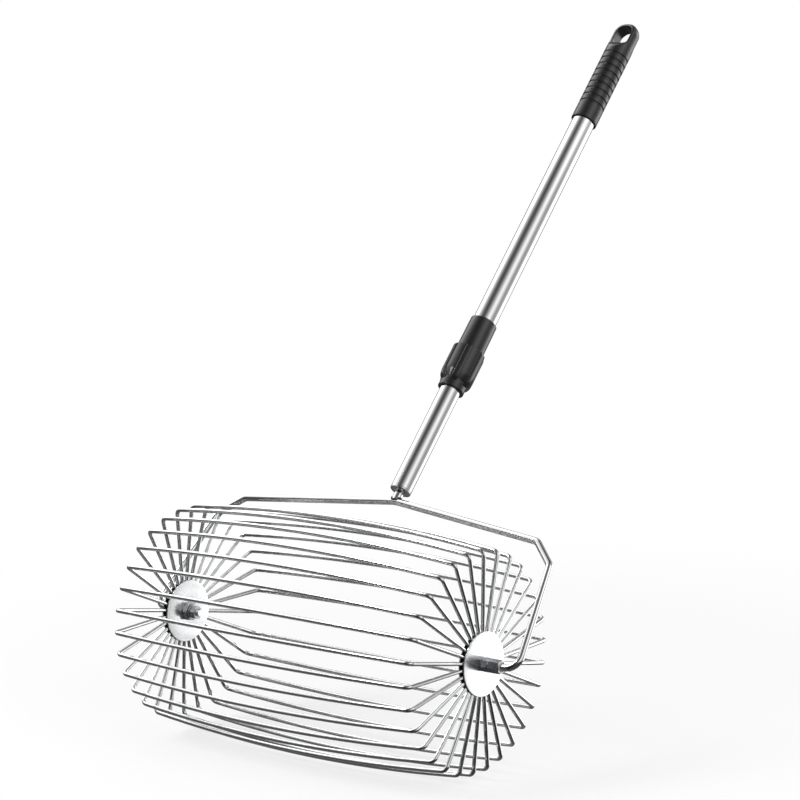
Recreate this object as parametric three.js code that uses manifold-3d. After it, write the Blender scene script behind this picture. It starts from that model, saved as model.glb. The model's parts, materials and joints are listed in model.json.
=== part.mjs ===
// A tennis ball picker: a cage of bowed wires that rolls on two hubs, carried by a bent rod yoke
// on a telescopic handle with a twist lock.
// Millimetres. The cage rolls about the X axis, Z is up, and the handle leans towards +Y.

import * as THREE from 'three';
import { mergeVertices } from 'three/addons/utils/BufferGeometryUtils.js';
import Module from 'manifold-3d';

const wasm = await Module();
wasm.setup();

// Fits shared by all pieces
const seatGap = 0.3;          // between two pieces that rest on each other
const runningGap = 0.35;      // round a shaft or tube that turns or slides in a bore
const edgeBreak = 0.5;        // chamfer on the rims of turned and pressed pieces
const overrun = 3;            // how far a cutting solid passes through what it cuts

// Cage wires
const wireCount = 30;
const wireDiameter = 5.8;
const cageHalfLength = 258.4; // from the middle to the corner of a wire's centre line
const cageEndRadius = 150;    // axis to the corner of a wire's centre line
const cageBow = 14.2;         // how far a wire bows out at mid-length
const wireBendRadius = 8;
const wireTailRadius = 30.4;  // axis to the inner end of a wire
const wireKickout = 3;        // straight length of a wire past the plates' rim

// Hubs, one at each end
const hubStandout = 9.2;      // corner of a wire to the outer plate's outer face
const plateRadius = 43.7;
const plateThickness = 1.5;
const spacerRadius = 26;
const bossAcrossFlats = 17;
const bossLength = 28.5;
const bossTurn = THREE.MathUtils.degToRad(39);
const shankWall = 1;
const bushWall = 0.9;
const hubNutAcrossFlats = 24;
const hubNutThickness = 7;
const nutChamferAngle = THREE.MathUtils.degToRad(30);
const nutFaceShare = 0.97;    // of the width across flats, the round face that the chamfer leaves
const axleWasherRadius = 10.5;
const axleWasherThickness = 1.7;
const axleNutAcrossFlats = 17;
const axleNutThickness = 8.5;
const axleTip = 4;            // rod that stands out past its nut

// Yoke rod, in its own plane
const rodDiameter = 10;
const elbowStandout = 26.2;   // boss to the corner of the elbow
const legSplay = 25.7;        // elbow to the top of the leg, towards the middle
const legTopRise = 9.6;       // above the corner of a wire
const shoulderInset = 36.7;   // top of the leg to the shoulder, towards the middle
const shoulderRise = 42.6;    // above the corner of a wire
const crownRise = 57.7;       // above the middle of a wire's span
const elbowBend = 18;
const shoulderBend = 13;
const crownBend = 60;
const yokeLean = THREE.MathUtils.degToRad(43.4);

// Handle tubes
const studDiameter = 13.5;
const studShowing = 11.8;     // yoke rod to the foot plug
const studInPlug = 24;
const plugFlange = 1.8;
const plugDepth = 30;
const lowerTubeDiameter = 30.5;
const upperTubeDiameter = 34.4;
const tubeWall = 1.2;
const lowerTubeLength = 540;
const lowerTubeShowing = 170;
const upperTubeShowing = 364.6;
const guideFlange = 5;
const guideDepth = 18;
const guideBore = 7;

// Twist lock
const neckLength = 14;
const neckWall = 3.9;
const twistLength = 53.5;     // neck to the joint with the sleeve
const twistWall = 5.95;
const rollUnderLength = 14.7; // foot of the barrel, which narrows towards the neck
const rollUnderDepth = 4;
const rollUnderEase = 3;      // height over which the barrel turns into its foot
const lipLength = 4;
const finCount = 6;
const finHeight = 1.9;        // above the barrel
const finThickness = 6.3;     // across its crest
const finFlare = 1;           // how much further each of its sides reaches at the barrel
const finRounding = 3.5;      // height of the rounding at a fin's upper end
const finToeLength = 15;      // height of the rounding at a fin's lower end
const finToeDrop = 4.2;       // how far a fin reaches down over the neck
const finPhase = THREE.MathUtils.degToRad(-58.7);
const sleeveLength = 50.6;
const sleeveBottomWall = 2.8;
const sleeveTopWall = 2.5;
const sleeveRounding = 1.8;
const tubeStop = 3;           // shoulder that the upper tube stands on
const fingerLength = 30;
const fingerSlots = 4;
const slotWidth = 2;
const slotMargin = 5;
const colletSplit = 3;
const colletCone = 0.8;
const colletConeLength = 1.6;

// Hand grip
const gripWall = 2.2;
const gripCuff = 23;          // plain length below the grooves
const grooveCount = 9;
const groovePitch = 11.4;
const grooveWidth = 3.6;
const grooveDepth = 1;
const gripShoulder = 7;       // plain length above the grooves
const eyeDiameter = 39;
const eyeThickness = 20.5;
const eyeBlend = 14;          // length over which the grip flattens into the eye
const eyeStraight = 16.6;
const eyeHoleWidth = 27;
const eyeHoleLength = 33;
const eyeHoleCorner = 7;      // radius of the hole's two lower corners
const eyeHoleRise = 10;       // top of the shoulder to the hole's lower edge
const tubeInGrip = 70;        // how far the upper tube reaches into the grip

// Facets
const wireSides = 6;
const rodSides = 10;
const hubFacets = 20;
const plateFacets = 30;
const tubeFacets = 24;
const gripFacets = 24;
const wireBendSteps = 2;
const spanSteps = 6;
const elbowSteps = 5;
const shoulderSteps = 2;
const curveSteps = 4;
const holeSteps = 6;
const hexagonSides = 6;

// Places that follow from the sizes above
const wireRadius = wireDiameter / 2;
const rodRadius = rodDiameter / 2;
const hubFace = cageHalfLength + hubStandout;
const wirePlane = hubFace - plateThickness - seatGap - wireRadius;
const clampPlateInner = wirePlane - wireRadius - seatGap - plateThickness;
const hubNutInner = clampPlateInner - seatGap - hubNutThickness;
const bossOuter = hubFace + seatGap + bossLength;
const bossInner = hubNutInner - edgeBreak;
const bushBore = rodRadius + runningGap;
const bossBore = bushBore + bushWall + seatGap;
const shankRadius = bossBore + shankWall;
const shankHole = shankRadius + seatGap;
const axleWasherInner = bossInner - seatGap - axleWasherThickness;
const axleNutInner = axleWasherInner - seatGap - axleNutThickness;
const axleEnd = axleNutInner - axleTip;

const elbowReach = bossOuter + elbowStandout;
const legTopReach = elbowReach - legSplay;
const legTopHeight = cageEndRadius + legTopRise;
const shoulderReach = legTopReach - shoulderInset;
const shoulderHeight = cageEndRadius + shoulderRise;
const crownHeight = cageEndRadius + cageBow + crownRise;
const stoodRod = crownHeight + rodRadius;
const footBottom = stoodRod + studShowing;
const studRadius = studDiameter / 2;
const studTop = footBottom + studInPlug;
const lowerTubeRadius = lowerTubeDiameter / 2;
const lowerTubeBore = lowerTubeRadius - tubeWall;
const lowerTubeBottom = footBottom + plugFlange + seatGap;
const lowerTubeTop = lowerTubeBottom + lowerTubeLength;
const upperTubeRadius = upperTubeDiameter / 2;
const upperTubeBore = upperTubeRadius - tubeWall;
const slideRadius = lowerTubeRadius + runningGap;
const lockBottom = lowerTubeBottom + lowerTubeShowing;
const neckTop = lockBottom + neckLength;
const lockJoint = neckTop + twistLength;
const lockTop = lockJoint + seatGap + sleeveLength;
const tubeSeat = lockJoint + seatGap + tubeStop;
const upperTubeBottom = tubeSeat + seatGap;
const gripBottom = lockTop + upperTubeShowing;
const groovesBottom = gripBottom + gripCuff;
const groovesTop = groovesBottom + grooveCount * groovePitch;
const shoulderTop = groovesTop + gripShoulder;
const upperTubeTop = gripBottom + tubeInGrip;
const eyeCentre = shoulderTop + eyeBlend + eyeStraight;
const eyeRadius = eyeDiameter / 2;
const gripTop = eyeCentre + eyeRadius;
const fingerRadius = upperTubeRadius;
const fingerBottom = lockJoint - fingerLength;
const neckRadius = slideRadius + neckWall;
const twistBore = fingerRadius + runningGap;
const barrelRadius = twistBore + twistWall;
const sleeveBore = upperTubeRadius + seatGap;
const gripRadius = upperTubeRadius + seatGap + gripWall;
const lipTop = lockBottom + lipLength;
const colletRadius = fingerRadius - seatGap;

// Finishes
const steel = { color: 0xc9cbce, roughness: 0.22, metalness: 1 };
const plateSteel = { color: 0xdcdee0, roughness: 0.3, metalness: 1 };
const fastenerSteel = { color: 0x9a9da1, roughness: 0.35, metalness: 1 };
const bushPlastic = { color: 0xd8d4c6, roughness: 0.55, metalness: 0 };
const blackPlastic = { color: 0x2a2a2b, roughness: 0.42, metalness: 0 };
const gripPlastic = { color: 0x262627, roughness: 0.5, metalness: 0 };

const picker = new THREE.Group();

// Adds one named piece to a group.
function addPiece(parent, name, geometry, finish) {
  const mesh = new THREE.Mesh(cleaned(geometry), new THREE.MeshStandardMaterial(finish));
  mesh.name = name;
  parent.add(mesh);
  return mesh;
}

// One closed shell with shared corners, no empty triangles and its faces pointing out.
function cleaned(geometry) {
  const bare = geometry.clone();
  for (const attribute of ['normal', 'uv']) bare.deleteAttribute(attribute);
  const merged = mergeVertices(bare);
  const corners = merged.getAttribute('position');
  const kept = [];
  let volume = 0;
  for (let i = 0; i < merged.index.count; i += 3) {
    const [a, b, c] = [0, 1, 2].map((k) => merged.index.getX(i + k));
    if (a === b || b === c || c === a) continue;
    kept.push(a, b, c);
    const [p, q, r] = [a, b, c].map((k) => new THREE.Vector3().fromBufferAttribute(corners, k));
    volume += p.dot(q.cross(r));
  }
  if (volume < 0) kept.reverse();
  merged.setIndex(kept);
  merged.computeVertexNormals();
  return merged;
}

function toSolid(geometry) {
  const shell = cleaned(geometry);
  const vertProperties = new Float32Array(shell.getAttribute('position').array);
  const triVerts = new Uint32Array(shell.index.array);
  return new wasm.Manifold(new wasm.Mesh({ numProp: 3, vertProperties, triVerts }));
}

function toGeometry(solid) {
  const mesh = solid.getMesh();
  const geometry = new THREE.BufferGeometry();
  geometry.setAttribute('position', new THREE.BufferAttribute(mesh.vertProperties, 3));
  geometry.setIndex(new THREE.BufferAttribute(mesh.triVerts, 1));
  return geometry;
}

// A solid of revolution about Z from [radius, height] points. A profile off the axis closes on itself.
function turned(profile, facets) {
  const points = profile.map(([radius, height]) => new THREE.Vector2(radius, height));
  const onAxis = points[0].x === 0 && points.at(-1).x === 0;
  if (!onAxis) points.push(points[0].clone());
  return new THREE.LatheGeometry(points, facets).rotateX(Math.PI / 2);
}

// A square-edged ring between two heights.
function ring(bore, radius, bottom, top, facets) {
  return turned([[bore, bottom], [radius, bottom], [radius, top], [bore, top]], facets);
}

// A plain round bar on the Z axis, for bores.
function bar(radius, bottom, top, facets) {
  return turned([[0, bottom], [radius, bottom], [radius, top], [0, top]], facets);
}

// A hexagon bar whose two ends are turned to the usual nut chamfer.
function hexagon(acrossFlats, bottom, top, turn) {
  const cornerRadius = acrossFlats / 2 / Math.cos(Math.PI / hexagonSides);
  const outline = new THREE.Shape(Array.from({ length: hexagonSides }, (_, k) => {
    const angle = turn + k * 2 * Math.PI / hexagonSides;
    return new THREE.Vector2(Math.cos(angle), Math.sin(angle)).multiplyScalar(cornerRadius);
  }));
  const depth = top - bottom;
  const prism = new THREE.ExtrudeGeometry(outline, { depth, bevelEnabled: false }).translate(0, 0, bottom);
  const flatRadius = acrossFlats / 2 * nutFaceShare;
  const wide = cornerRadius + overrun;
  const drop = (wide - flatRadius) * Math.tan(nutChamferAngle);
  const chamfers = turned([
    [0, bottom], [flatRadius, bottom], [wide, bottom + drop],
    [wide, top - drop], [flatRadius, top], [0, top],
  ], hubFacets);
  return toSolid(prism).intersect(toSolid(chamfers));
}

function polygon(radius, sides) {
  return new THREE.Shape(Array.from({ length: sides }, (_, k) => {
    const angle = Math.PI / 2 + k * 2 * Math.PI / sides;
    return new THREE.Vector2(Math.cos(angle), Math.sin(angle)).multiplyScalar(radius);
  }));
}

// A curve through stations of its own choosing, each with a place and a direction.
class StationCurve extends THREE.Curve {
  constructor(stations) {
    super();
    this.stations = stations;
  }

  nearest(t) {
    return this.stations[Math.round(t * (this.stations.length - 1))];
  }

  getPoint(t, target = new THREE.Vector3()) {
    return target.copy(this.nearest(t).place);
  }

  getPointAt(t, target) {
    return this.getPoint(t, target);
  }

  getTangentAt(t, target = new THREE.Vector3()) {
    return target.copy(this.nearest(t).direction);
  }
}

function station(x, z, directionX, directionZ) {
  return {
    place: new THREE.Vector3(x, 0, z),
    direction: new THREE.Vector3(directionX, 0, directionZ).normalize(),
  };
}

// Stations round one corner of a bent rod in the XZ plane, from tangent point to tangent point.
function bend(before, corner, after, radius, steps) {
  const [a, b, c] = [before, corner, after].map(([x, z]) => new THREE.Vector2(x, z));
  const arriving = b.clone().sub(a).normalize();
  const leaving = c.clone().sub(b).normalize();
  const turn = Math.atan2(arriving.cross(leaving), arriving.dot(leaving));
  const side = Math.sign(turn);
  const start = b.clone().addScaledVector(arriving, -radius * Math.tan(Math.abs(turn) / 2));
  const centre = start.clone().add(new THREE.Vector2(-arriving.y, arriving.x).multiplyScalar(side * radius));
  return Array.from({ length: steps + 1 }, (_, k) => {
    const angle = turn * k / steps;
    const place = start.clone().rotateAround(centre, angle);
    const direction = arriving.clone().rotateAround(new THREE.Vector2(), angle);
    return station(place.x, place.y, direction.x, direction.y);
  });
}

function sweptRod(radius, sides, stations) {
  return new THREE.ExtrudeGeometry(polygon(radius, sides), {
    steps: stations.length - 1,
    bevelEnabled: false,
    extrudePath: new StationCurve(stations),
  });
}

// The same stations on the other side of the middle, in the order in which the rod reaches them.
function mirrored(stations) {
  const across = stations.map(({ place: { x, z }, direction }) => station(-x, z, direction.x, -direction.z));
  return across.reverse();
}

// One cage wire in the XZ plane: tail between the plates, leg, corner, bowed span and back again.
function cageWire() {
  const spanSlope = 2 * cageBow / cageHalfLength;
  const kick = plateRadius + wireKickout;
  const tail = [wirePlane, wireTailRadius];
  const root = [wirePlane, kick];
  const corner = [cageHalfLength, cageEndRadius];
  const inward = [cageHalfLength - wireBendRadius, cageEndRadius + wireBendRadius * spanSlope];
  const half = [
    station(...tail, 0, 1),
    station(...root, 0, 1),
    ...bend(root, corner, inward, wireBendRadius, wireBendSteps),
  ];
  const span = [];
  for (let k = 1; k < spanSteps; k += 1) {
    const share = 1 - 2 * k / spanSteps;
    const height = cageEndRadius + cageBow * (1 - share * share);
    span.push(station(cageHalfLength * share, height, -1, spanSlope * share));
  }
  return sweptRod(wireRadius, wireSides, [...half, ...span, ...mirrored(half)]);
}

function yokeRod() {
  const tip = [axleEnd, 0];
  const elbow = [elbowReach, 0];
  const legTop = [legTopReach, legTopHeight];
  const shoulder = [shoulderReach, shoulderHeight];
  const crown = [0, crownHeight];
  const otherShoulder = [-shoulderReach, shoulderHeight];
  const half = [
    station(...tip, 1, 0),
    ...bend(tip, elbow, legTop, elbowBend, elbowSteps),
    ...bend(elbow, legTop, shoulder, shoulderBend, shoulderSteps),
    ...bend(legTop, shoulder, crown, shoulderBend, shoulderSteps),
  ];
  const top = bend(shoulder, crown, otherShoulder, crownBend, shoulderSteps);
  return sweptRod(rodRadius, rodSides, [...half, ...top, ...mirrored(half)]);
}

// Everything at one end of the cage, built along +Z away from the cage's middle.
function addHub(side, quarterTurn) {
  const hub = new THREE.Group();
  hub.rotation.y = quarterTurn;
  picker.add(hub);

  const outerPlate = ring(shankHole, plateRadius, hubFace - plateThickness, hubFace, plateFacets);
  addPiece(hub, `end_plate_${side}`, outerPlate, plateSteel);

  const clampPlateOuter = clampPlateInner + plateThickness;
  const clampPlate = ring(shankHole, plateRadius, clampPlateInner, clampPlateOuter, plateFacets);
  addPiece(hub, `clamp_plate_${side}`, clampPlate, plateSteel);

  const spacer = ring(shankHole, spacerRadius, wirePlane - wireRadius, wirePlane + wireRadius, hubFacets);
  addPiece(hub, `plate_spacer_${side}`, spacer, fastenerSteel);

  const head = hexagon(bossAcrossFlats, hubFace + seatGap, bossOuter, bossTurn);
  const shank = toSolid(bar(shankRadius, bossInner, hubFace + seatGap + overrun, hubFacets));
  const bore = toSolid(bar(bossBore, bossInner - overrun, bossOuter + overrun, hubFacets));
  addPiece(hub, `hub_boss_${side}`, toGeometry(head.add(shank).subtract(bore)), steel);

  const nut = hexagon(hubNutAcrossFlats, hubNutInner, hubNutInner + hubNutThickness, bossTurn);
  const nutBore = toSolid(bar(shankHole, hubNutInner - overrun, clampPlateInner + overrun, hubFacets));
  addPiece(hub, `hub_nut_${side}`, toGeometry(nut.subtract(nutBore)), fastenerSteel);

  const bush = ring(bushBore, bushBore + bushWall, bossInner, bossOuter - edgeBreak, hubFacets);
  addPiece(hub, `axle_bush_${side}`, bush, bushPlastic);
}

// Washer and lock nut on one threaded end of the yoke rod, inside the cage.
function addAxleLock(parent, side, quarterTurn) {
  const axleLock = new THREE.Group();
  axleLock.rotation.y = quarterTurn;
  parent.add(axleLock);

  const washerTop = axleWasherInner + axleWasherThickness;
  const washer = ring(bushBore, axleWasherRadius, axleWasherInner, washerTop, hubFacets);
  addPiece(axleLock, `axle_washer_${side}`, washer, fastenerSteel);

  const nut = hexagon(axleNutAcrossFlats, axleNutInner, axleNutInner + axleNutThickness, 0);
  const nutBore = toSolid(bar(bushBore, axleNutInner - overrun, axleWasherInner + overrun, hubFacets));
  addPiece(axleLock, `axle_nut_${side}`, toGeometry(nut.subtract(nutBore)), fastenerSteel);
}

// The stud's foot is hollowed to sit over the yoke rod.
function neckStud() {
  const body = toSolid(turned([
    [0, crownHeight], [studRadius, crownHeight], [studRadius, studTop - edgeBreak],
    [studRadius - edgeBreak, studTop], [0, studTop],
  ], hubFacets));
  const saddleRadius = rodRadius + seatGap;
  const rodLine = bar(saddleRadius, -studDiameter, studDiameter, hubFacets).rotateY(Math.PI / 2);
  return toGeometry(body.subtract(toSolid(rodLine.translate(0, 0, crownHeight))));
}

function footPlug() {
  const socket = studRadius + seatGap;
  const insert = lowerTubeBore - seatGap;
  const flangeTop = footBottom + plugFlange;
  const socketTop = studTop + seatGap;
  return turned([
    [socket, footBottom], [lowerTubeRadius - edgeBreak, footBottom],
    [lowerTubeRadius, footBottom + edgeBreak], [lowerTubeRadius, flangeTop],
    [insert, flangeTop], [insert, footBottom + plugDepth],
    [0, footBottom + plugDepth], [0, socketTop], [socket, socketTop], [socket, footBottom],
  ], tubeFacets);
}

function tubeGuide() {
  const insert = lowerTubeBore - seatGap;
  const flangeRadius = upperTubeBore - runningGap;
  const flangeBottom = lowerTubeTop + seatGap;
  return turned([
    [guideBore, flangeBottom - guideDepth], [insert, flangeBottom - guideDepth],
    [insert, flangeBottom], [flangeRadius, flangeBottom],
    [flangeRadius, flangeBottom + guideFlange], [guideBore, flangeBottom + guideFlange],
  ], tubeFacets);
}

// A slot cutter that passes through a tube's wall on one side.
function wallSlot(width, reach, bottom, top, angle) {
  const cutter = new THREE.BoxGeometry(reach, width, top - bottom);
  return toSolid(cutter.translate(reach / 2, 0, (bottom + top) / 2).rotateZ(angle));
}

// The lock's fixed half: a smooth sleeve on the upper tube, and slit fingers that reach down inside
// the twist sleeve.
function lockBody() {
  const bottomRadius = sleeveBore + sleeveBottomWall;
  const topRadius = sleeveBore + sleeveTopWall;
  const bottom = lockJoint + seatGap;
  const rounding = Array.from({ length: curveSteps + 1 }, (_, k) => {
    const angle = k / curveSteps * Math.PI / 2;
    const radius = topRadius - sleeveRounding * (1 - Math.cos(angle));
    return [radius, lockTop - sleeveRounding * (1 - Math.sin(angle))];
  });
  const body = toSolid(turned([
    [slideRadius, fingerBottom], [fingerRadius, fingerBottom], [fingerRadius, bottom],
    [bottomRadius - edgeBreak, bottom], [bottomRadius, bottom + edgeBreak],
    ...rounding, [sleeveBore, lockTop], [sleeveBore, tubeSeat], [slideRadius, tubeSeat],
  ], tubeFacets));
  const slotReach = fingerRadius + overrun;
  const slots = Array.from({ length: fingerSlots }, (_, k) => {
    const angle = 2 * Math.PI * k / fingerSlots;
    return wallSlot(slotWidth, slotReach, fingerBottom - overrun, lockJoint - slotMargin, angle);
  });
  return toGeometry(slots.reduce((solid, slot) => solid.subtract(slot), body));
}

// A split ring between the fingers and the twist sleeve's lip, coned at its lower end.
function lockCollet() {
  const bottom = lipTop + seatGap;
  const top = fingerBottom - seatGap;
  const coneTop = bottom + colletConeLength;
  const body = toSolid(turned([
    [slideRadius, bottom], [colletRadius - colletCone, bottom], [colletRadius, coneTop],
    [colletRadius, top], [slideRadius, top],
  ], tubeFacets));
  const split = wallSlot(colletSplit, colletRadius + overrun, bottom - overrun, top + overrun, 0);
  return toGeometry(body.subtract(split));
}

// Points a quarter of the way round an ellipse, from straight out of its centre to straight above it.
// A negative height goes down instead. The two end points are left out.
function quarterRound(centreRadius, centreHeight, width, height) {
  return Array.from({ length: curveSteps - 1 }, (_, k) => {
    const angle = (k + 1) / curveSteps * Math.PI / 2;
    return [centreRadius + width * Math.cos(angle), centreHeight + height * Math.sin(angle)];
  });
}

// One fin's outline across the handle, standing on the X axis and wider at the barrel than at its crest.
function finSection(root, reach) {
  const crest = finThickness / 2;
  const foot = crest + finFlare;
  const side = [[root, foot], [barrelRadius, foot], [reach, crest], [reach + overrun, crest]];
  const below = side.map(([x, y]) => new THREE.Vector2(x, -y));
  const above = side.reverse().map(([x, y]) => new THREE.Vector2(x, y));
  return new THREE.Shape([...below, ...above]);
}

// The lock's turning half: a neck, a wide barrel that narrows at its foot, and fins over both.
function twistSleeve() {
  const rollTop = neckTop + rollUnderLength;
  const rollUnder = new THREE.QuadraticBezierCurve(
    new THREE.Vector2(barrelRadius - rollUnderDepth, neckTop),
    new THREE.Vector2(barrelRadius, rollTop - rollUnderEase),
    new THREE.Vector2(barrelRadius, rollTop),
  ).getPoints(curveSteps).map(({ x, y }) => [x, y]);
  const barrel = toSolid(turned([
    [slideRadius, lockBottom], [neckRadius - edgeBreak, lockBottom], [neckRadius, lockBottom + edgeBreak],
    [neckRadius, neckTop - edgeBreak], [neckRadius - edgeBreak, neckTop], ...rollUnder,
    [barrelRadius, lockJoint - edgeBreak], [barrelRadius - edgeBreak, lockJoint],
    [twistBore, lockJoint], [twistBore, lipTop], [slideRadius, lipTop],
  ], tubeFacets));

  const finReach = barrelRadius + finHeight;
  const finRoot = twistBore + seatGap;
  const finBottom = neckTop - finToeDrop;
  const finTop = lockJoint - edgeBreak;
  const toeTop = finBottom + finToeLength;
  const toe = quarterRound(neckRadius, toeTop, finReach - neckRadius, -finToeLength);
  const browBottom = finTop - finRounding;
  const brow = quarterRound(barrelRadius, browBottom, finHeight, finRounding);
  const finShape = toSolid(turned([
    [twistBore, finBottom], [neckRadius, finBottom], ...toe.reverse(), [finReach, toeTop],
    [finReach, browBottom], ...brow, [barrelRadius, finTop], [twistBore, finTop],
  ], tubeFacets));
  const section = finSection(finRoot, finReach);
  const fins = Array.from({ length: finCount }, (_, k) => {
    const blank = new THREE.ExtrudeGeometry(section, { depth: finTop - finBottom, bevelEnabled: false });
    blank.translate(0, 0, finBottom).rotateZ(finPhase + 2 * Math.PI * k / finCount);
    return toSolid(blank).intersect(finShape);
  });
  return toGeometry(fins.reduce((solid, fin) => solid.add(fin), barrel));
}

// The grip's outline from its open lower end to its round top, with its finger grooves.
function gripProfile() {
  const profile = [
    [0, gripBottom], [gripRadius - edgeBreak, gripBottom], [gripRadius, gripBottom + edgeBreak],
  ];
  for (let k = 0; k < grooveCount; k += 1) {
    const middle = groovesBottom + (k + 1 / 2) * groovePitch;
    const low = middle - grooveWidth / 2;
    const high = middle + grooveWidth / 2;
    profile.push([gripRadius, low], [gripRadius - grooveDepth, middle], [gripRadius, high]);
  }
  profile.push([gripRadius, shoulderTop], [eyeRadius, shoulderTop + eyeBlend], [eyeRadius, eyeCentre]);
  for (let k = 1; k <= curveSteps; k += 1) {
    const angle = k / curveSteps * Math.PI / 2;
    const radius = k === curveSteps ? 0 : eyeRadius * Math.cos(angle);
    profile.push([radius, eyeCentre + eyeRadius * Math.sin(angle)]);
  }
  return profile;
}

// Seen along X, the grip narrows from its full width to the eye's thickness.
function eyeSideView() {
  const wide = gripRadius + overrun;
  const thin = eyeThickness / 2;
  const blendTop = shoulderTop + eyeBlend;
  const bulge = shoulderTop + eyeBlend / 2;
  const peak = gripTop + edgeBreak;
  const outline = new THREE.Shape();
  outline.moveTo(wide, gripBottom - overrun);
  outline.lineTo(wide, groovesTop);
  outline.bezierCurveTo(wide, bulge, thin, bulge, thin, blendTop);
  outline.lineTo(thin, eyeCentre);
  outline.bezierCurveTo(thin, peak, thin, peak, 0, peak);
  outline.bezierCurveTo(-thin, peak, -thin, peak, -thin, eyeCentre);
  outline.lineTo(-thin, blendTop);
  outline.bezierCurveTo(-thin, bulge, -wide, bulge, -wide, groovesTop);
  outline.lineTo(-wide, gripBottom - overrun);
  outline.closePath();
  return outline;
}

// The hang hole: an arch, round at the top, with rounded lower corners. It stands on the shape's X axis.
function archedHole() {
  const side = eyeHoleWidth / 2;
  const outline = new THREE.Shape();
  outline.moveTo(side, eyeHoleLength - side);
  outline.absarc(0, eyeHoleLength - side, side, 0, Math.PI, false);
  outline.lineTo(-side, eyeHoleCorner);
  outline.quadraticCurveTo(-side, 0, eyeHoleCorner - side, 0);
  outline.lineTo(side - eyeHoleCorner, 0);
  outline.quadraticCurveTo(side, 0, side, eyeHoleCorner);
  outline.closePath();
  return outline;
}

function handGrip() {
  const body = toSolid(turned(gripProfile(), gripFacets));
  const depth = eyeDiameter + overrun * 2;
  const flattened = { depth, bevelEnabled: false, curveSegments: curveSteps };
  const sideView = new THREE.ExtrudeGeometry(eyeSideView(), flattened);
  // The shape's X becomes the grip's Y, its Y becomes Z and its depth becomes X.
  sideView.translate(0, 0, -depth / 2).rotateX(Math.PI / 2).rotateZ(Math.PI / 2);
  const straight = { depth, bevelEnabled: false, curveSegments: holeSteps };
  const hole = new THREE.ExtrudeGeometry(archedHole(), straight);
  hole.translate(0, 0, -depth / 2).rotateX(Math.PI / 2).translate(0, 0, shoulderTop + eyeHoleRise);
  const boreTop = upperTubeTop + seatGap;
  const bore = toSolid(bar(gripRadius - gripWall, gripBottom - overrun, boreTop, tubeFacets));
  return toGeometry(body.intersect(toSolid(sideView)).subtract(toSolid(hole)).subtract(bore));
}

// The cage
for (let k = 0; k < wireCount; k += 1) {
  const number = String(k + 1).padStart(2, '0');
  const wire = addPiece(picker, `basket_wire_${number}`, cageWire(), steel);
  wire.rotation.x = 2 * Math.PI * k / wireCount - Math.PI / 2;
}
addHub('right', Math.PI / 2);
addHub('left', -Math.PI / 2);

// The yoke and the handle, in one group that leans back
const handle = new THREE.Group();
handle.rotation.x = -yokeLean;
picker.add(handle);

addPiece(handle, 'yoke_rod', yokeRod(), steel);
addAxleLock(handle, 'right', Math.PI / 2);
addAxleLock(handle, 'left', -Math.PI / 2);
addPiece(handle, 'neck_stud', neckStud(), steel);
addPiece(handle, 'foot_plug', footPlug(), blackPlastic);
const lowerTube = ring(lowerTubeBore, lowerTubeRadius, lowerTubeBottom, lowerTubeTop, tubeFacets);
addPiece(handle, 'lower_tube', lowerTube, steel);
addPiece(handle, 'tube_guide', tubeGuide(), bushPlastic);
const upperTube = ring(upperTubeBore, upperTubeRadius, upperTubeBottom, upperTubeTop, tubeFacets);
addPiece(handle, 'upper_tube', upperTube, steel);
addPiece(handle, 'lock_body', lockBody(), blackPlastic);
addPiece(handle, 'lock_collet', lockCollet(), bushPlastic);
addPiece(handle, 'twist_sleeve', twistSleeve(), blackPlastic);
addPiece(handle, 'hand_grip', handGrip(), gripPlastic);

// The origin is the middle of the ground under the whole picker.
picker.updateMatrixWorld(true);
const extent = new THREE.Box3().setFromObject(picker, true);
const middle = extent.getCenter(new THREE.Vector3());
picker.position.set(-middle.x, -middle.y, -extent.min.z);

export default picker;
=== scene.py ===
# The looks of the tennis ball picker: fine meshes, materials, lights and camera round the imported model.
# Sizes of the pieces are in millimetres, as in the part's own source. Lights and camera are in metres.

import functools
import json
import math

import bmesh
import bpy
import numpy as np
from mathutils import Matrix, Vector

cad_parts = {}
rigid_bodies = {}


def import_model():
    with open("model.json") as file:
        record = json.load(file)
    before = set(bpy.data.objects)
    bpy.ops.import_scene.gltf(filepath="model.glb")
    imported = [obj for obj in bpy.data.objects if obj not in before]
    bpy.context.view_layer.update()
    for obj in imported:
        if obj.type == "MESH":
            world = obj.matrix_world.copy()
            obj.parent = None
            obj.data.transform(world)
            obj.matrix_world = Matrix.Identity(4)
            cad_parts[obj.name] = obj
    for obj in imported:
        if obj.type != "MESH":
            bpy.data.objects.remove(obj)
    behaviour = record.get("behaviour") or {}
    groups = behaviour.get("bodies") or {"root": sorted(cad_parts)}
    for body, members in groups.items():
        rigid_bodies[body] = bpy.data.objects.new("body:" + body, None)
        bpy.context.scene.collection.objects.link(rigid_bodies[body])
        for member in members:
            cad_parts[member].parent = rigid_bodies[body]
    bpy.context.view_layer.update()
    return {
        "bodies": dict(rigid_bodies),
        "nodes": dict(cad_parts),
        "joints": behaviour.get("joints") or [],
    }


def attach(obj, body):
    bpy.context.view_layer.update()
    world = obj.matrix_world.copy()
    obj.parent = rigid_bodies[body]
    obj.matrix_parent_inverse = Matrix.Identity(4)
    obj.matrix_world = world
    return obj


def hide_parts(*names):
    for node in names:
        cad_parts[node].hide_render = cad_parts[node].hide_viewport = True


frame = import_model()

MM = 0.001
SIDES = {"right": math.pi / 2, "left": -math.pi / 2}
QUARTER = [math.pi / 2 * k / 8 for k in range(9)]

# Gaps between pieces that sit and that move on each other, and the rounding of edges
SEAT = 0.3
RUNNING = 0.35
EDGE = 0.5
FINE_EDGE = 0.3

# A corner's rounding takes at most this share of each of its sides
ROUNDING_SHARE = 0.45

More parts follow.
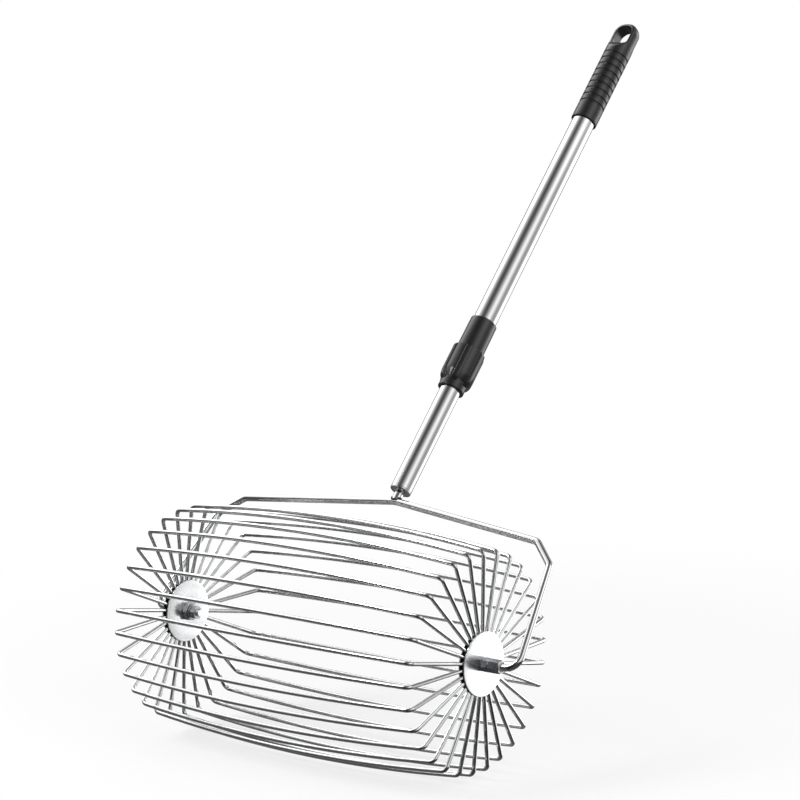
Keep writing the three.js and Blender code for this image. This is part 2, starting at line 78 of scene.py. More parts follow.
# Columns of faces round a piece
WIRE_COLUMNS = 20
ROD_COLUMNS = 28
COLUMNS = 96
HEXAGON_COLUMNS = 144
TUBE_COLUMNS = 128
DISC_COLUMNS = 160
GRIP_COLUMNS = 160

# Least angle in degrees between two faces that shows as an edge
SHARP = 38
FIN_SHARP = 32
HEXAGON_SHARP = 20

# Hexagons: corners turned off to a share of their reach, and ends chamfered down to a share of the flats
HEXAGON_CORNER = 0.985
HEXAGON_FACE = 0.97
HEXAGON_CHAMFER = math.radians(30)
HEXAGON_EDGE = 0.1

# Cage
WIRE_COUNT = 30
WIRE_RADIUS = 2.9
CAGE_HALF = 258.4
CAGE_END_RADIUS = 150
CAGE_BOW = 13.8
WIRE_BEND = 8
WIRE_TAIL = 30.4
WIRE_KICK = 46.7
BOW_SHARE = 0.94
BOW_POINTS = 31
HUB_FACE = 267.6
PLATE_RADIUS = 43.7
PLATE = 1.5
SPACER_RADIUS = 26
BOSS_FLATS = 17
BOSS_LENGTH = 28.5
BOSS_TURN = math.radians(39)
BOSS_JOINT = 10.5
BOSS_JOINT_HALF = 0.3
BUSH_WALL = 0.9
SHANK_WALL = 1
HUB_NUT_FLATS = 24
HUB_NUT = 7
WASHER_RADIUS = 10.5
WASHER = 1.7
AXLE_NUT_FLATS = 17
AXLE_NUT = 8.5
AXLE_TIP = 4

# Yoke
ROD_RADIUS = 5
ELBOW_REACH = 321.9
LEG_TOP = (296.9, 159.6)
SHOULDER = (260.2, 192.6)
CROWN_HEIGHT = 221.9
ELBOW_BEND = 18
SHOULDER_BEND = 13
CROWN_BEND = 60
THREAD_PITCH = 1.25
THREAD_DEPTH = 0.7
THREAD_STEPS = 8
TIP_CHAMFER = 0.6

# Handle, measured along it from the axle
STUD_RADIUS = 6.75
STUD_TIP = 0.01
STUD_EASE = 0.05
WELD_RADIUS = 1.25
WELD_UNEVEN = 0.35
WELD_OUT = 0.1
WELD_UP = 0.4
WELD_WAVES = [6, 11, 16, 21, 26]
WELD_SEED = 4
WELD_STEPS = 120
WELD_COLUMNS = 14
FOOT_BOTTOM = 238.7
STUD_IN_PLUG = 24
PLUG_FLANGE = 1.8
PLUG_DEPTH = 30
PLUG_VENT = 1
LOWER_RADIUS = 15.25
UPPER_RADIUS = 17.2
TUBE_WALL = 1.2
LOWER_LENGTH = 540
LOWER_SHOWING = 170
UPPER_SHOWING = 364.6

# Twist lock
NECK_LENGTH = 14
NECK_RADIUS = 19.5
NECK_EDGE = 0.8
NECK_EDGE_MIDDLE = 0.25
NECK_RIM = 0.6
TWIST_LENGTH = 53.5
TWIST_RADIUS = 23.5
ROLL_LENGTH = 14.7
ROLL_DEPTH = 4
ROLL_EASE = 3
LIP_LENGTH = 4
FIN_COUNT = 6
FIN_REACH = 25.4
FIN_HALF = 3.15
FIN_FLARE = 1
FIN_BROW = 3.5
FIN_TOE = 15
FIN_DROP = 4.2
FIN_CORNER = 0.7
FIN_FILLET = 1
FIN_PHASE = math.radians(-58.7)
TOE_CLEAR = 0.2
# Rings of the twist sleeve: heights from the neck's top, and depths under the joint as shares of its edge
RIM_HEIGHTS = [-0.8, -0.6, -0.4, -0.25, -0.12, -0.03, 0.04, 0.3, 0.7]
JOINT_DEPTHS = [0.8, 0.5, 0.25, 0.1]
SLEEVE_LENGTH = 50.6
SLEEVE_BOTTOM_RADIUS = 20.3
SLEEVE_TOP_RADIUS = 20
SLEEVE_ROUNDING = 1.8
TUBE_STOP = 3
FINGER_LENGTH = 30
FINGER_COUNT = 4
SLOT_WIDTH = 2

# Hand grip
GRIP_RADIUS = 19.7
GRIP_CUFF = 23
GRIP_CAP = 0.5
# The width and depth of the mouth's chamfer, the inset and height of points on the lower edge, and where it ends
GRIP_MOUTH = (0.5, 0.6)
GRIP_ROUNDING = [(0.8, 0), (0.22, 0.24)]
GRIP_EDGE = 1
GROOVE_COUNT = 9
GROOVE_PITCH = 11.4
GROOVE_HALF = 2.1
GROOVE_DEPTH = 1.4
# Rings across a groove, at shares of its half width from its middle
GROOVE_POINTS = [0, 0.3, 0.6, 0.85, 0.96, 0.995, 1.02]
GRIP_SHOULDER = 7
EYE_RADIUS = 19.5
EYE_HALF_THICKNESS = 10.25
EYE_EDGE = 3
EYE_BLEND = 14
EYE_STRAIGHT = 16.6
EYE_START = 3
EYE_END_POWER = 6
HOLE_HALF_WIDTH = 13.2
HOLE_LENGTH = 32.4
HOLE_CORNER = 7
HOLE_RISE = 10.3
HOLE_RIM = 1.2
TUBE_IN_GRIP = 70
# Least values, which keep the grip's last rings open and a divisor off zero
EYE_END_LEAST = 0.0004
EYE_TIP = 0.01
EYE_TOP_GAP = 0.02
LEAST_SINE = 0.02

# Places that follow from the sizes
WIRE_PLANE = HUB_FACE - PLATE - SEAT - WIRE_RADIUS
CLAMP_INNER = WIRE_PLANE - WIRE_RADIUS - SEAT - PLATE
HUB_NUT_INNER = CLAMP_INNER - SEAT - HUB_NUT
BOSS_OUTER = HUB_FACE + SEAT + BOSS_LENGTH
BOSS_INNER = HUB_NUT_INNER - EDGE
BUSH_BORE = ROD_RADIUS + RUNNING
BOSS_BORE = BUSH_BORE + BUSH_WALL + SEAT
SHANK_RADIUS = BOSS_BORE + SHANK_WALL
SHANK_HOLE = SHANK_RADIUS + SEAT
WASHER_INNER = BOSS_INNER - SEAT - WASHER
AXLE_NUT_INNER = WASHER_INNER - SEAT - AXLE_NUT
AXLE_END = AXLE_NUT_INNER - AXLE_TIP
LOWER_BOTTOM = FOOT_BOTTOM + PLUG_FLANGE + SEAT
LOWER_BORE = LOWER_RADIUS - TUBE_WALL
UPPER_BORE = UPPER_RADIUS - TUBE_WALL
SLIDE_RADIUS = LOWER_RADIUS + RUNNING
LOCK_BOTTOM = LOWER_BOTTOM + LOWER_SHOWING
NECK_TOP = LOCK_BOTTOM + NECK_LENGTH
LOCK_JOINT = NECK_TOP + TWIST_LENGTH
LOCK_TOP = LOCK_JOINT + SEAT + SLEEVE_LENGTH
TUBE_SEAT = LOCK_JOINT + SEAT + TUBE_STOP
UPPER_BOTTOM = TUBE_SEAT + SEAT
GRIP_BOTTOM = LOCK_TOP + UPPER_SHOWING
GROOVES_BOTTOM = GRIP_BOTTOM + GRIP_CUFF
GROOVES_TOP = GROOVES_BOTTOM + GROOVE_COUNT * GROOVE_PITCH
SHOULDER_TOP = GROOVES_TOP + GRIP_SHOULDER
UPPER_TOP = GRIP_BOTTOM + TUBE_IN_GRIP
EYE_CENTRE = SHOULDER_TOP + EYE_BLEND + EYE_STRAIGHT
FINGER_BOTTOM = LOCK_JOINT - FINGER_LENGTH
TWIST_BORE = UPPER_RADIUS + RUNNING
LIP_TOP = LOCK_BOTTOM + LIP_LENGTH
TOE_TOP = NECK_TOP - FIN_DROP + FIN_TOE
BROW_BOTTOM = LOCK_JOINT - EDGE - FIN_BROW

# The frame gives the axle and the lean of the handle
joints = {joint["name"]: joint for joint in frame["joints"]}
AXLE = Vector(joints["basket_roll"]["pos_m"])
ALONG = Vector(joints["handle_slide"]["axis"])
LEAN = math.atan2(ALONG.y, ALONG.z)
CAGE_PLACE = Matrix.Translation(AXLE)
HANDLE_PLACE = CAGE_PLACE @ Matrix.Rotation(-LEAN, 4, "X")


# Meshes

def make_mesh(name, points, faces, sharp=SHARP):
    mesh = bpy.data.meshes.new(name)
    mesh.from_pydata((np.asarray(points, float) * MM).tolist(), [], faces)
    shell = bmesh.new()
    shell.from_mesh(mesh)
    bmesh.ops.recalc_face_normals(shell, faces=shell.faces)
    shell.to_mesh(mesh)
    shell.free()
    mesh.shade_smooth()
    mesh.set_sharp_from_angle(angle=math.radians(sharp))
    return mesh


def round_angles(count):
    return np.linspace(0, 2 * math.pi, count, endpoint=False)


def skin(rings, closed):
    """Points and faces over rings of points. A closed skin joins its last ring to its first, an open one is capped."""
    rows, columns = len(rings), len(rings[0])
    faces = []
    for row in range(rows if closed else rows - 1):
        here, there = row * columns, (row + 1) % rows * columns
        for column in range(columns):
            beside = (column + 1) % columns
            faces.append((here + column, here + beside, there + beside, there + column))
    if not closed:
        faces.append(tuple(range(columns)))
        faces.append(tuple(range((rows - 1) * columns, rows * columns)))
    return np.concatenate(rings), faces


def lofted(rings, angles, closed=True):
    """Rings round Z from (radius, height) pairs, each a number or an array over the angles."""
    placed = []
    for radius, height in rings:
        across = np.broadcast_to(radius, angles.shape)
        up = np.broadcast_to(height, angles.shape)
        placed.append(np.stack([across * np.cos(angles), across * np.sin(angles), up], 1))
    return skin(placed, closed)


def rounded(profile, radius, steps=4):
    """The closed outline through the profile's corners, with each one rounded."""
    corners = [np.array(point, float) for point in profile]
    outline = []
    for k, corner in enumerate(corners):
        before, after = corners[k - 1], corners[(k + 1) % len(corners)]
        back, ahead = before - corner, after - corner
        reach = min(radius, ROUNDING_SHARE * np.linalg.norm(back), ROUNDING_SHARE * np.linalg.norm(ahead))
        start = corner + back / np.linalg.norm(back) * reach
        end = corner + ahead / np.linalg.norm(ahead) * reach
        for t in np.linspace(0, 1, steps + 1):
            outline.append((1 - t) ** 2 * start + 2 * t * (1 - t) * corner + t ** 2 * end)
    return outline


def turned(name, profile, edge=EDGE, columns=COLUMNS):
    outline = rounded(profile, edge)
    return make_mesh(name, *lofted(outline, round_angles(columns)))


def ring_mesh(name, bore, radius, bottom, top, edge=EDGE, columns=COLUMNS):
    return turned(name, [(bore, bottom), (radius, bottom), (radius, top), (bore, top)], edge, columns)


def hexagon_radii(across_flats, turn, angles):
    """Distance to a hexagon's outline at each angle, with its corners slightly turned off."""
    off_middle = (angles - turn) % (math.pi / 3) - math.pi / 6
    flat = across_flats / 2
    corner = flat / math.cos(math.pi / 6)
    return np.minimum(flat / np.cos(off_middle), HEXAGON_CORNER * corner)


def chamfered_hexagon(across_flats, turn, bottom, top, angles):
    """Rings of a hexagon whose two ends are turned to the usual nut chamfer."""
    radii = hexagon_radii(across_flats, turn, angles)
    face = HEXAGON_FACE * across_flats / 2
    drop = np.maximum(radii - face, 0) * math.tan(HEXAGON_CHAMFER)
    return [(face, bottom), (radii, bottom + drop + HEXAGON_EDGE), (radii, top - drop - HEXAGON_EDGE), (face, top)]


def nut_mesh(name, across_flats, turn, bottom, top, bore):
    angles = round_angles(HEXAGON_COLUMNS)
    rings = [(bore + EDGE, bottom), *chamfered_hexagon(across_flats, turn, bottom, top, angles),
             (bore + EDGE, top), (bore, top - EDGE), (bore, bottom + EDGE)]
    return make_mesh(name, *lofted(rings, angles), HEXAGON_SHARP)


def unit(vector):
    return vector / np.linalg.norm(vector)


def route(corners, bends, steps=10):
    """Points and directions along a bent rod in its own XZ plane, its inner corners rounded."""
    corners = [np.array(corner, float) for corner in corners]
    points, ways = [corners[0]], [unit(corners[1] - corners[0])]
    for before, corner, after, radius in zip(corners, corners[1:], corners[2:], bends):
        arriving, leaving = unit(corner - before), unit(after - corner)
        turn = math.atan2(arriving[0] * leaving[1] - arriving[1] * leaving[0], arriving @ leaving)
        start = corner - arriving * radius * math.tan(abs(turn) / 2)
        centre = start + math.copysign(radius, turn) * np.array([-arriving[1], arriving[0]])
        for k in range(steps + 1):
            angle = turn * k / steps
            spin = np.array([[math.cos(angle), -math.sin(angle)], [math.sin(angle), math.cos(angle)]])
            points.append(centre + spin @ (start - centre))
            ways.append(spin @ arriving)
    return points + [corners[-1]], ways + [unit(corners[-1] - corners[-2])]


def mirrored(points, ways):
    """The same rod on the other side of the middle, in the order in which it is reached."""
    return ([np.array([-x, z]) for x, z in reversed(points)], [np.array([x, -z]) for x, z in reversed(ways)])


def swept(name, points, ways, radii, columns):
    """A rod of round section. radii holds one radius, or one array over the section, for each point."""
    angles = round_angles(columns)
    rings = []
    for (x, z), (way_x, way_z), radius in zip(points, ways, radii):
        out, beside = radius * np.cos(angles), radius * np.sin(angles)
        rings.append(np.stack([x - out * way_z, beside, z + out * way_x], 1))
    return make_mesh(name, *skin(rings, closed=False))


def add_item(name, data):
    item = bpy.data.objects.new(name, data)
    bpy.context.scene.collection.objects.link(item)
    return item


# Trees of nodes, for the materials, the world and the floor

def add_node(tree, kind, inputs=(), **settings):
    """A shader node. Each of its inputs is given as a value, or as the socket that feeds it."""
    node = tree.nodes.new("ShaderNode" + kind)
    for key, value in settings.items():
        setattr(node, key, value)
    for key, value in dict(inputs).items():
        if isinstance(value, bpy.types.NodeSocket):
            tree.links.new(value, node.inputs[key])
        else:
            node.inputs[key].default_value = value
    return node


def between(tree, value, low, high, to_low=0, to_high=1, **settings):
    inputs = {"Value": value, "From Min": low, "From Max": high, "To Min": to_low, "To Max": to_high}
    return add_node(tree, "MapRange", inputs, **settings).outputs["Result"]


# Materials, each over the piece's own coordinates in metres, so a scale of noise is in waves a metre

NOISE_RANGE = (0.3, 0.7)
METAL_CLOUDS = 24
METAL_RELIEF = 0.00002
DISC_RINGS = {"Scale": 260.0, "Distortion": 0.6, "Detail": 2.0, "Detail Scale": 2.0}
DISC_RING_RELIEF = 0.000003
PLASTIC_CLOUDS = 35
PLASTIC_SHEEN = 120
PLASTIC_WAVES = 60
PLASTIC_WAVE_RELIEF = 0.00004


class Painter:
    """Adds nodes to one material and keeps the few that every material here has."""

    def __init__(self, name):
        self.material = bpy.data.materials.new(name)
        self.material.use_nodes = True
        self.tree = self.material.node_tree
        self.shader = self.tree.nodes["Principled BSDF"]
        self.add = functools.partial(add_node, self.tree)
        self.place = self.add("TexCoord").outputs["Object"]
        self.height = None

    def noise(self, scale, detail=3, stretch=(1, 1, 1)):
        moved = self.add("Mapping", {"Vector": self.place, "Scale": stretch})
        texture = self.add("TexNoise", {"Vector": moved.outputs[0], "Scale": scale, "Detail": detail})
        return texture.outputs["Fac"]

    def colour_between(self, value, dark, light):
        ramp = self.add("ValToRGB", {"Fac": value})
        for stop, place, colour in zip(ramp.color_ramp.elements, NOISE_RANGE, (dark, light)):
            stop.position = place
            stop.color = (*colour, 1)
        self.tree.links.new(ramp.outputs["Color"], self.shader.inputs["Base Color"])

    def roughness_between(self, value, smooth, rough):
        result = between(self.tree, value, *NOISE_RANGE, smooth, rough)
        self.tree.links.new(result, self.shader.inputs["Roughness"])

    def bump(self, value, distance):
        inputs = {"Height": value, "Distance": distance}
        if self.height is not None:
            inputs["Normal"] = self.height
        self.height = self.add("Bump", inputs).outputs["Normal"]
        self.tree.links.new(self.height, self.shader.inputs["Normal"])


def metal(name, dark, light, roughness, grain, stretch=(1, 1, 1), relief=METAL_RELIEF, spun=False):
    """Bare or plated steel: cloudy colour, and a fine grain that roughens it. A spun one has fine rings round Z."""
    paint = Painter(name)
    paint.shader.inputs["Metallic"].default_value = 1
    paint.colour_between(paint.noise(METAL_CLOUDS), dark, light)
    fine = paint.noise(grain, detail=2, stretch=stretch)
    paint.roughness_between(fine, *roughness)
    paint.bump(fine, relief)
    if spun:
        inputs = {"Vector": paint.place, **DISC_RINGS}
        rings = paint.add("TexWave", inputs, wave_type="RINGS", rings_direction="Z")
        paint.bump(rings.outputs["Fac"], DISC_RING_RELIEF)
    return paint.material


def plastic(name, dark, light, roughness, grain, relief, gloss):
    """Moulded plastic: a fine spark-eroded grain over a slow waviness."""
    paint = Painter(name)
    paint.shader.inputs["Specular IOR Level"].default_value = gloss
    paint.colour_between(paint.noise(PLASTIC_CLOUDS), dark, light)
    paint.roughness_between(paint.noise(PLASTIC_SHEEN), *roughness)
    paint.bump(paint.noise(PLASTIC_WAVES, detail=1), PLASTIC_WAVE_RELIEF)
    paint.bump(paint.noise(grain, detail=4), relief)
    return paint.material


wire_steel = metal("wire_steel", (0.82, 0.825, 0.83), (0.89, 0.895, 0.90), (0.10, 0.20), grain=700)
rod_steel = metal("rod_steel", (0.82, 0.825, 0.83), (0.89, 0.89, 0.895), (0.07, 0.15), grain=600)
disc_steel = metal("disc_steel", (0.86, 0.87, 0.88), (0.93, 0.94, 0.95), (0.20, 0.28), grain=500,
                   relief=0.000004, spun=True)
boss_steel = metal("boss_steel", (0.50, 0.51, 0.53), (0.59, 0.60, 0.62), (0.13, 0.22), grain=500,
                   stretch=(1, 1, 0.1), relief=0.000008)
plug_steel = metal("plug_steel", (0.84, 0.84, 0.845), (0.90, 0.90, 0.905), (0.12, 0.20), grain=500)
fastener_steel = metal("fastener_steel", (0.48, 0.50, 0.52), (0.60, 0.61, 0.62), (0.22, 0.36), grain=450)
# Tube is drawn through a die, so its grain runs along Z
tube_chrome = metal("tube_chrome", (0.87, 0.87, 0.875), (0.92, 0.92, 0.925), (0.10, 0.16), grain=900,
                    stretch=(1, 1, 0.02))
weld_steel = metal("weld_steel", (0.10, 0.095, 0.09), (0.26, 0.25, 0.25), (0.35, 0.6), grain=900, relief=0.0001)
black_plastic = plastic("black_plastic", (0.007, 0.007, 0.0075), (0.011, 0.011, 0.0115), (0.20, 0.28),
                        grain=1500, relief=0.00001, gloss=0.8)
grip_plastic = plastic("grip_plastic", (0.007, 0.007, 0.007), (0.011, 0.011, 0.011), (0.24, 0.32),
                       grain=1100, relief=0.00002, gloss=0.8)
white_plastic = plastic("white_plastic", (0.62, 0.60, 0.53), (0.72, 0.70, 0.63), (0.38, 0.5),
                        grain=900, relief=0.00002, gloss=0.5)


def piece(name, mesh, place, body, material, nodes=()):
    """One shown piece of the picker, riding on its body and standing for the solids it replaces."""
    if not mesh.materials:
        mesh.materials.append(material)
    item = add_item(name, mesh)
    item.matrix_world = place
    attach(item, body)
    if nodes:
        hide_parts(*nodes)
    return item


# The cage

def wire_mesh():
    slope = 2 * CAGE_BOW / CAGE_HALF
    inward = (CAGE_HALF - 2 * WIRE_BEND, CAGE_END_RADIUS + 2 * WIRE_BEND * slope)
    corners = [(WIRE_PLANE, WIRE_TAIL), (WIRE_PLANE, WIRE_KICK), (CAGE_HALF, CAGE_END_RADIUS), inward]
    points, ways = route(corners, [WIRE_BEND, WIRE_BEND])
    half, half_ways = points[:-1], ways[:-1]
    span, span_ways = [], []
    for share in np.linspace(BOW_SHARE, -BOW_SHARE, BOW_POINTS):
        span.append(np.array([CAGE_HALF * share, CAGE_END_RADIUS + CAGE_BOW * (1 - share ** 2)]))
        span_ways.append(unit(np.array([-1, slope * share])))
    other, other_ways = mirrored(half, half_ways)
    radii = np.full(len(half) * 2 + len(span), WIRE_RADIUS)
    radii[0] = radii[-1] = WIRE_RADIUS - EDGE
    return swept("cage_wire", half + span + other, half_ways + span_ways + other_ways, radii, WIRE_COLUMNS)


def build_cage():
    mesh = wire_mesh()
    for k in range(WIRE_COUNT):
        place = CAGE_PLACE @ Matrix.Rotation(2 * math.pi * k / WIRE_COUNT - math.pi / 2, 4, "X")
        node = f"basket_wire_{k + 1:02d}"
        piece(f"cage_wire_{k + 1:02d}", mesh, place, "basket", wire_steel, [node])


def boss_mesh():
    """The hexagon boss with its shank, turned down at the line where its two halves meet."""
    angles = round_angles(HEXAGON_COLUMNS)
    joint = HUB_FACE + SEAT + BOSS_JOINT
    rings = [(BOSS_BORE + EDGE, BOSS_INNER), (SHANK_RADIUS - EDGE / 2, BOSS_INNER), (SHANK_RADIUS, BOSS_INNER + EDGE),
             (SHANK_RADIUS, HUB_FACE + SEAT),
             *chamfered_hexagon(BOSS_FLATS, BOSS_TURN, HUB_FACE + SEAT, joint - BOSS_JOINT_HALF, angles),
             *chamfered_hexagon(BOSS_FLATS, BOSS_TURN, joint + BOSS_JOINT_HALF, BOSS_OUTER, angles),
             (BOSS_BORE + EDGE, BOSS_OUTER), (BOSS_BORE, BOSS_OUTER - EDGE), (BOSS_BORE, BOSS_INNER + EDGE)]
    return make_mesh("hub_boss", *lofted(rings, angles), HEXAGON_SHARP)


def build_hubs():
    disc = ring_mesh("end_disc", SHANK_HOLE, PLATE_RADIUS, HUB_FACE - PLATE, HUB_FACE, columns=DISC_COLUMNS)
    clamp = ring_mesh("clamp_disc", SHANK_HOLE, PLATE_RADIUS, CLAMP_INNER, CLAMP_INNER + PLATE,
                      columns=DISC_COLUMNS)
    spacer = ring_mesh("spacer", SHANK_HOLE, SPACER_RADIUS, WIRE_PLANE - WIRE_RADIUS, WIRE_PLANE + WIRE_RADIUS)
    boss = boss_mesh()
    nut = nut_mesh("hub_nut", HUB_NUT_FLATS, BOSS_TURN, HUB_NUT_INNER, HUB_NUT_INNER + HUB_NUT, SHANK_HOLE)
    bush = ring_mesh("bush", BUSH_BORE, BUSH_BORE + BUSH_WALL, BOSS_INNER, BOSS_OUTER - EDGE, FINE_EDGE)
    for side, quarter in SIDES.items():
        place = CAGE_PLACE @ Matrix.Rotation(quarter, 4, "Y")
        for name, mesh, material, slot, node in (
                ("end_disc", disc, disc_steel, "plate_steel", "end_plate"),
                ("clamp_disc", clamp, disc_steel, "plate_steel", "clamp_plate"),
                ("disc_spacer", spacer, fastener_steel, "fastener_steel", "plate_spacer"),
                ("boss", boss, boss_steel, "boss_steel", "hub_boss"),
                ("boss_nut", nut, fastener_steel, "fastener_steel", "hub_nut"),
                ("bush", bush, white_plastic, "bush_plastic", "axle_bush")):
            piece(f"{name}_{side}", mesh, place, "basket", material, [f"{node}_{side}"])


# The yoke

def threaded_end(angles):
    """Points, directions and radii of the rod's threaded end, from its tip outward."""
    length = BOSS_INNER - AXLE_END
    stations = np.linspace(0, length, int(length / THREAD_PITCH * THREAD_STEPS))
    points = [np.array([AXLE_END + s, 0]) for s in stations]
    radii = []
    for s in stations:
        phase = (s / THREAD_PITCH + angles / (2 * math.pi)) % 1
        ridge = THREAD_DEPTH * np.abs(2 * phase - 1)
        fade = min(s / THREAD_PITCH, (length - s) / THREAD_PITCH, 1)
        radii.append(ROD_RADIUS - TIP_CHAMFER * (1 - min(s, 1)) - fade * ridge)
    return points, [np.array([1, 0])] * len(points), radii


def build_yoke():
    thread, thread_ways, thread_radii = threaded_end(round_angles(ROD_COLUMNS))
    elbow, crown = (ELBOW_REACH, 0), (0, CROWN_HEIGHT)
    points, ways = route([(BOSS_INNER + EDGE, 0), elbow, LEG_TOP, SHOULDER, crown],
                         [ELBOW_BEND, SHOULDER_BEND, SHOULDER_BEND])
    half, half_ways = thread + points[:-1], thread_ways + ways[:-1]
    other_shoulder = (-SHOULDER[0], SHOULDER[1])
    top, top_ways = route([SHOULDER, crown, other_shoulder], [CROWN_BEND])
    other, other_ways = mirrored(half, half_ways)
    plain = [np.full(ROD_COLUMNS, float(ROD_RADIUS))]
    near = thread_radii + plain * (len(half) - len(thread))
    radii = near + plain * (len(top) - 2) + near[::-1]
    mesh = swept("yoke", half + top[1:-1] + other, half_ways + top_ways[1:-1] + other_ways, radii, ROD_COLUMNS)
    piece("yoke", mesh, HANDLE_PLACE, "yoke", rod_steel, ["yoke_rod"])

    washer = ring_mesh("washer", BUSH_BORE, WASHER_RADIUS, WASHER_INNER, WASHER_INNER + WASHER, FINE_EDGE)
    nut = nut_mesh("axle_nut", AXLE_NUT_FLATS, 0, AXLE_NUT_INNER, AXLE_NUT_INNER + AXLE_NUT, BUSH_BORE)
    for side, quarter in SIDES.items():
        place = HANDLE_PLACE @ Matrix.Rotation(quarter, 4, "Y")
        piece(f"washer_{side}", washer, place, "yoke", fastener_steel, [f"axle_washer_{side}"])
        piece(f"lock_nut_{side}", nut, place, "yoke", fastener_steel, [f"axle_nut_{side}"])


def saddle(sideways):
    """The height at which the stud ends on the rod's upper side, a seat's gap off it."""
    return CROWN_HEIGHT + np.sqrt(np.maximum((ROD_RADIUS + SEAT) ** 2 - sideways ** 2, 0))


def build_stud():
    angles = round_angles(COLUMNS)
    top = FOOT_BOTTOM + STUD_IN_PLUG
    rings = []
    for share in np.linspace(0, 1, 12):
        rings.append((share * STUD_RADIUS + STUD_TIP, saddle(share * STUD_RADIUS * np.sin(angles))))
    rings += [(STUD_RADIUS, saddle(STUD_RADIUS * np.sin(angles)) + STUD_EASE), (STUD_RADIUS, top - EDGE),
              (STUD_RADIUS - EDGE, top)]
    mesh = make_mesh("stud", *lofted(rings, angles, closed=False))
    piece("stud", mesh, HANDLE_PLACE, "yoke", rod_steel, ["neck_stud"])


def build_weld():
    """A bead round the stud's foot, whose size goes up and down in a few waves round it."""
    random = np.random.default_rng(WELD_SEED)
    phases = random.uniform(0, 2 * math.pi, len(WELD_WAVES))
    path = round_angles(WELD_STEPS)
    uneven = sum(np.sin(wave * path + phase) for wave, phase in zip(WELD_WAVES, phases)) / len(WELD_WAVES)
    section = round_angles(WELD_COLUMNS)
    rings = []
    for angle, lump in zip(path, uneven):
        height = saddle(STUD_RADIUS * math.sin(angle)) + WELD_UP
        size = WELD_RADIUS + WELD_UNEVEN * lump
        out = STUD_RADIUS + WELD_OUT + size * np.cos(section)
        rings.append(np.stack([out * math.cos(angle), out * math.sin(angle), height + size * np.sin(section)], 1))
    bead = make_mesh("weld_bead", *skin(rings, closed=True))
    piece("weld_bead", bead, HANDLE_PLACE, "yoke", weld_steel)


# The handle

def build_tubes():
    socket, insert = STUD_RADIUS + SEAT, LOWER_BORE - SEAT
    flange_top, socket_top = FOOT_BOTTOM + PLUG_FLANGE, FOOT_BOTTOM + STUD_IN_PLUG + SEAT
    top = FOOT_BOTTOM + PLUG_DEPTH
    plug = turned("plug", [(socket, FOOT_BOTTOM), (LOWER_RADIUS, FOOT_BOTTOM), (LOWER_RADIUS, flange_top),
                           (insert, flange_top), (insert, top), (PLUG_VENT, top), (PLUG_VENT, socket_top),
                           (socket, socket_top)])
    piece("plug", plug, HANDLE_PLACE, "yoke", plug_steel, ["foot_plug"])
    lower = ring_mesh("tube_lower", LOWER_BORE, LOWER_RADIUS, LOWER_BOTTOM, LOWER_BOTTOM + LOWER_LENGTH,
                      columns=TUBE_COLUMNS)
    piece("tube_lower", lower, HANDLE_PLACE, "yoke", tube_chrome, ["lower_tube"])
    upper = ring_mesh("tube_upper", UPPER_BORE, UPPER_RADIUS, UPPER_BOTTOM, UPPER_TOP, columns=TUBE_COLUMNS)
    piece("tube_upper", upper, HANDLE_PLACE, "upper_handle", tube_chrome, ["upper_tube"])


def arc_block(inner, outer, bottom, top, start, end, steps=16):
    """Points and faces of a curved block between two radii, two heights and two angles."""
    rings = []
    for angle in np.linspace(start, end, steps):
        corners = [(inner, bottom), (outer, bottom), (outer, top), (inner, top)]
        rings.append(np.array([(r * math.cos(angle), r * math.sin(angle), h) for r, h in corners]))
    return skin(rings, closed=False)


def joined(parts):
    points, faces, count = [], [], 0
    for part_points, part_faces in parts:
        points.append(part_points)
        faces += [tuple(corner + count for corner in face) for face in part_faces]
        count += len(part_points)
    return np.concatenate(points), faces


def build_lock_body():
    bottom, tube_bore = LOCK_JOINT + SEAT, UPPER_RADIUS + SEAT
    rounding = [(SLEEVE_TOP_RADIUS - SLEEVE_ROUNDING * (1 - math.cos(a)),
                 LOCK_TOP - SLEEVE_ROUNDING * (1 - math.sin(a))) for a in QUARTER]
    foot = [(SLEEVE_BOTTOM_RADIUS - EDGE * (1 - math.sin(a)), bottom + EDGE * (1 - math.cos(a))) for a in QUARTER]
    profile = [(SLIDE_RADIUS, bottom), *foot, *rounding, (tube_bore, LOCK_TOP), (tube_bore, TUBE_SEAT),
               (SLIDE_RADIUS, TUBE_SEAT)]
    parts = [lofted(profile, round_angles(TUBE_COLUMNS))]
    slot_half = SLOT_WIDTH / 2 / UPPER_RADIUS
    for k in range(FINGER_COUNT):
        start = 2 * math.pi * k / FINGER_COUNT
        end = start + 2 * math.pi / FINGER_COUNT
        parts.append(arc_block(SLIDE_RADIUS, UPPER_RADIUS, FINGER_BOTTOM, bottom, start + slot_half, end - slot_half))
    mesh = make_mesh("lock_barrel", *joined(parts))
    piece("lock_barrel", mesh, HANDLE_PLACE, "upper_handle", black_plastic, ["lock_body"])


def fin_half_width(radius):
    """Half of a fin's width at one distance from the handle's axis. It widens from its crest to the barrel."""
    down = (FIN_REACH - radius) / (FIN_REACH - TWIST_RADIUS)
    return FIN_HALF + FIN_FLARE * np.clip(down, 0, 1)


